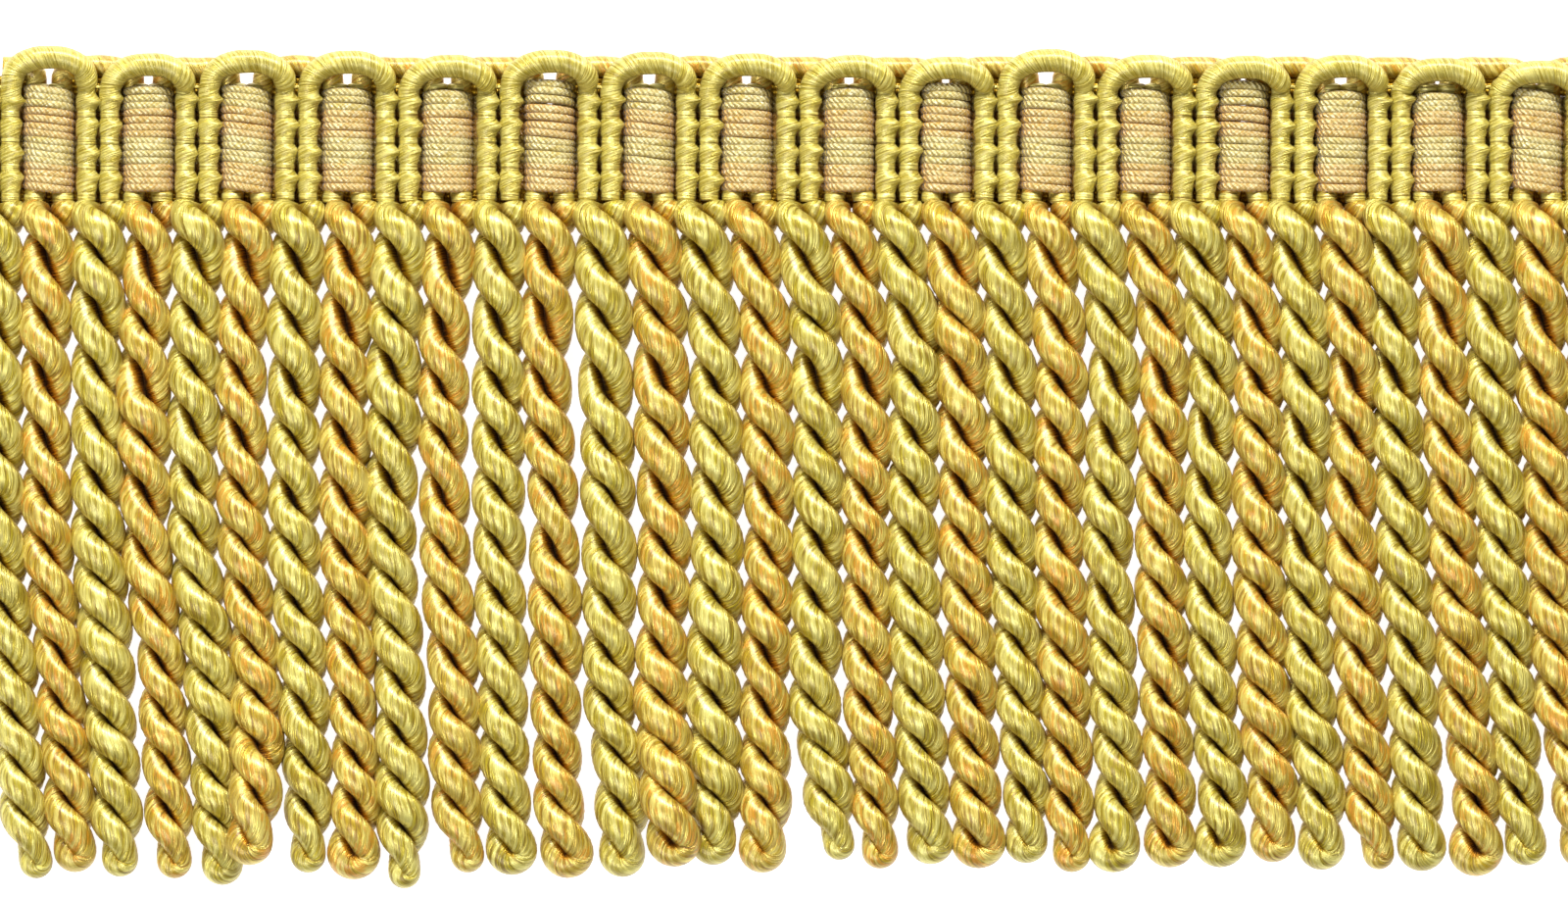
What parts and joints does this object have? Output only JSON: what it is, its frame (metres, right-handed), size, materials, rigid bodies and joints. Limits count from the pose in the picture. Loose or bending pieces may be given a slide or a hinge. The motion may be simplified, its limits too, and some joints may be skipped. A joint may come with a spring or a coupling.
{
  "type": "bullion fringe trim",
  "caption": "Cut length of bullion fringe trim: twisted rope fringe under a woven heading with gimp scallops, lying face up.",
  "frame": {"origin": "centre of the heading's flat back between the two middle blocks, where the trim is sewn or glued on", "axes": "+X along the trim, +Y across it from the ropes to the scalloped edge, +Z out of its face. It lies on its back on Z = 0"},
  "size_m": [0.2042, 0.1029, 0.0087],
  "materials": {
    "warp_yarn": "matte",
    "olive_gimp": "satin",
    "gold_gimp": "satin",
    "bullion_gimp": "satin",
    "binding_thread": "satin"
  },
  "bodies": {
    "root": {"warp_band": "warp_yarn", "scallop_gimp": "olive_gimp", "loop_gimp": "gold_gimp", "bullion_fringe": "bullion_gimp"}
  },
  "joints": []
}
